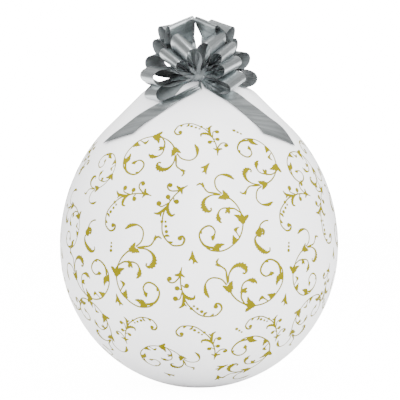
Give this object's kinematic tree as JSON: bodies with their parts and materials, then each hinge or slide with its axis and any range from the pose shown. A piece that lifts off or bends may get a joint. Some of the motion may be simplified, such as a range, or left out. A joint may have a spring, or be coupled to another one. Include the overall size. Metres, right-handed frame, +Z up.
{
  "type": "stuffed balloon",
  "caption": "Round latex stuffing balloon standing on its flattened base, tied at the neck, with a pulled ribbon bow on the neck and two ribbon tails lying over its shoulders.",
  "frame": {"origin": "middle of the flat spot that the balloon stands on", "axes": "+Z up the balloon to its tied neck; -Y the front, which the two ribbon tails fall towards; +X to the right seen from the front"},
  "size_m": [0.457, 0.457, 0.5974],
  "materials": {
    "printed_latex": "satin, milky clear latex with gold ink scrollwork printed on the outside",
    "silver_ribbon": "satin metallic film, silver outside and duller inside the loops"
  },
  "bodies": {
    "root": {"balloon": "printed_latex", "ribbon_bow": "silver_ribbon"}
  },
  "joints": []
}
